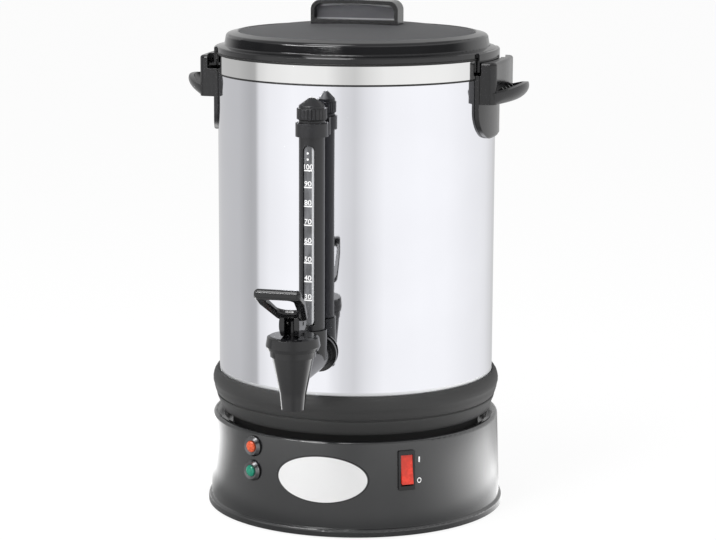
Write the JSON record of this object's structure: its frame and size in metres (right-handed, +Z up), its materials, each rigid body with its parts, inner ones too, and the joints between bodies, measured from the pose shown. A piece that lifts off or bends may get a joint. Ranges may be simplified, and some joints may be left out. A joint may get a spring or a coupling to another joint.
{
  "type": "filter coffee urn",
  "caption": "Stainless steel filter coffee urn with a lever tap, a side level gauge, side handles, a twist-lock lid and a moulded heated base.",
  "frame": {"origin": "on the tank's vertical axis, in the plane of the four feet", "axes": "+Z up, the tap points to -Y, the cable inlet to +Y, the side handles to +X and -X"},
  "size_m": [0.3632, 0.4638, 0.5345],
  "materials": {
    "polished_steel": "polished stainless steel with soft streaks",
    "base_grey": "dark grey satin moulding",
    "black_plastic": "black satin moulding",
    "tap_black": "black, semi-gloss",
    "badge_white": "white enamel, bare",
    "lens_amber": "translucent amber",
    "lens_green": "translucent green",
    "bezel_chrome": "bright plated",
    "switch_red": "translucent red",
    "black_rubber": "matt",
    "silicone": "matt, off-white",
    "clear_glass": "clear tube",
    "zinc_steel": "zinc plated",
    "filter_aluminium": "satin",
    "heater_steel": "heat-dulled steel",
    "white_plastic": "off-white"
  },
  "bodies": {
    "urn": {"base_housing": "base_grey", "base_plate": "zinc_steel", "rubber_feet": "black_rubber", "oval_badge": "badge_white", "amber_lamp_lens": "lens_amber", "green_lamp_lens": "lens_green", "lamp_bezels": "bezel_chrome", "switch_housing": "black_plastic", "cable_gland": "black_plastic", "gland_nut": "black_plastic", "terminal_block": "white_plastic", "lower_collar": "black_plastic", "collar_screws": "zinc_steel", "tank_body": "polished_steel", "tank_floor": "polished_steel", "rim_band": "polished_steel", "right_handle": "black_plastic", "left_handle": "black_plastic", "handle_screws": "zinc_steel", "tap_body": "tap_black", "tap_gasket": "black_rubber", "tank_gasket": "black_rubber", "tap_locknut": "black_plastic", "tap_bonnet": "tap_black", "gauge_glass": "clear_glass", "gauge_shroud": "tap_black", "gauge_clip": "tap_black", "clip_screw": "zinc_steel", "pump_heater": "heater_steel", "warming_element": "heater_steel", "heater_clamp": "zinc_steel", "clamp_stud": "zinc_steel", "thermostat": "heater_steel", "thermal_cutout": "heater_steel", "tie_rods": "zinc_steel", "tie_nuts": "zinc_steel"},
    "lid_seal_ring": {"lid_seal": "black_rubber"},
    "lid_assembly": {"lid": "black_plastic", "lid_grip": "black_plastic", "lid_grip_screws": "zinc_steel"},
    "riser": {"pump_tube": "filter_aluminium"},
    "washer": {"valve_washer": "filter_aluminium"},
    "basket": {"filter_basket": "filter_aluminium"},
    "spreader": {"basket_cover": "filter_aluminium"},
    "tap_valve": {"valve_stem": "tap_black", "seat_cup": "silicone", "tap_spring": "zinc_steel"},
    "lever": {"tap_lever": "tap_black", "lever_pin": "zinc_steel"},
    "rocker": {"switch_rocker": "switch_red"},
    "cap_seal_ring": {"gauge_cap_seal": "black_rubber"},
    "cap": {"gauge_cap": "tap_black"}
  },
  "joints": [
    {"name": "lid_lift", "type": "slide", "parent": "urn", "child": "lid_seal_ring", "axis": [0, 0, 1], "range_m": [0, 0.5]},
    {"name": "lid_turn", "type": "hinge", "parent": "lid_seal_ring", "child": "lid_assembly", "pos_m": [0, 0, 0.49], "axis": [0, 0, 1], "range_deg": [-12, 0]},
    {"name": "filter_lift", "type": "slide", "parent": "urn", "child": "riser", "axis": [0, 0, 1], "range_m": [0, 0.335]},
    {"name": "washer_float", "type": "slide", "parent": "riser", "child": "washer", "axis": [0, 0, 1], "range_m": [0, 0.003]},
    {"name": "basket_lift", "type": "slide", "parent": "riser", "child": "basket", "axis": [0, 0, 1], "range_m": [0, 0.102]},
    {"name": "spreader_lift", "type": "slide", "parent": "basket", "child": "spreader", "axis": [0, 0, 1], "range_m": [0, 0.0305]},
    {"name": "stem_lift", "type": "slide", "parent": "urn", "child": "tap_valve", "axis": [0, 0, 1], "range_m": [0, 0.00302], "deforming": ["tap_spring"]},
    {"name": "lever_tilt", "type": "hinge", "parent": "tap_valve", "child": "lever", "pos_m": [0, -0.245, 0.24], "axis": [1, 0, 0], "range_deg": [0, 28], "stiffness_Nm_per_rad": 0.3, "springref_deg": -17.19},
    {"name": "rocker_tilt", "type": "hinge", "parent": "urn", "child": "rocker", "pos_m": [0.08154, -0.1232, 0.06834], "axis": [0.8339, 0.5519, 0], "range_deg": [0, 14]},
    {"name": "gauge_cap_lift", "type": "slide", "parent": "urn", "child": "cap_seal_ring", "axis": [0, 0, 1], "range_m": [0, 0.08]},
    {"name": "gauge_cap_turn", "type": "hinge", "parent": "cap_seal_ring", "child": "cap", "pos_m": [0, -0.177, 0.435], "axis": [0, 0, 1], "continuous": true}
  ],
  "couplings": [
    {"joint": "filter_lift", "follows": "lid_lift", "ratio": 0.66},
    {"joint": "basket_lift", "follows": "lid_lift", "ratio": 0.2},
    {"joint": "spreader_lift", "follows": "lid_lift", "ratio": 0.06},
    {"joint": "stem_lift", "follows": "lever_tilt", "m_per_rad": 0.0061388}
  ]
}
